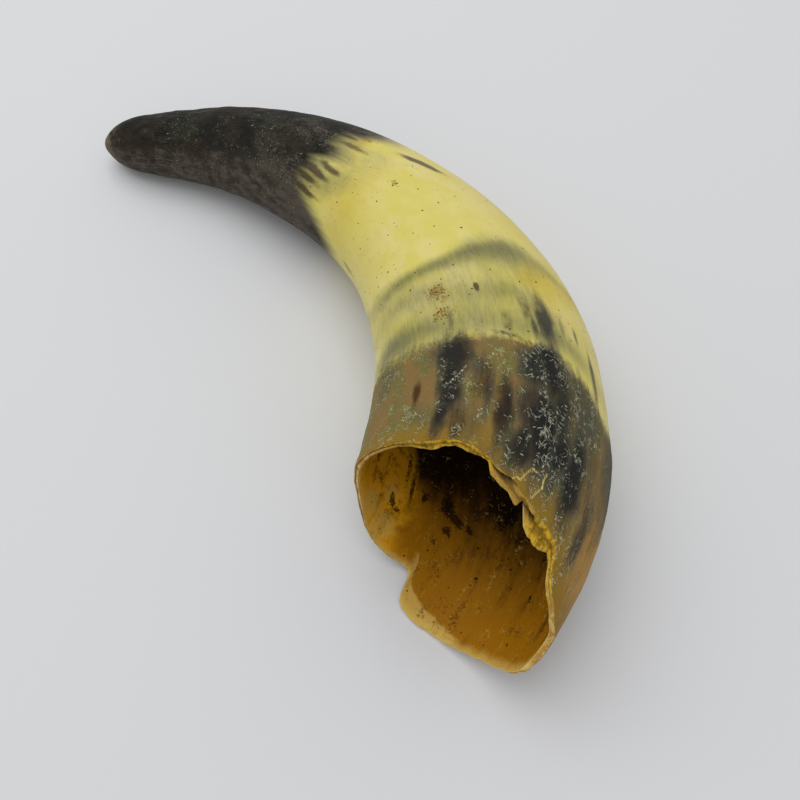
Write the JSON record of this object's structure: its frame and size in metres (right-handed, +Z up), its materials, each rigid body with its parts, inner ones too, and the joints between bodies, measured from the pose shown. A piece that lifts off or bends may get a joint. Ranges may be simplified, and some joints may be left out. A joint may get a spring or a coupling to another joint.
{
  "type": "bull horn",
  "caption": "Hollow curved bull's horn lying on its side: dark blunt tip, polished yellow middle, rough brown base with a torn open mouth.",
  "frame": {"origin": "middle of the horn's box seen from above, on the surface that it lies on", "axes": "+Z is up as it lies, +Y is the box's longest side and leads from the open mouth to the tip's end, and the tip points to -X"},
  "size_m": [0.1818, 0.2167, 0.0659],
  "materials": {
    "horn": "natural horn: charcoal tip, satin yellow middle with grey-green bands, rough brown base with dark streaks, amber inside"
  },
  "bodies": {
    "root": {"horn": "horn"}
  },
  "joints": []
}
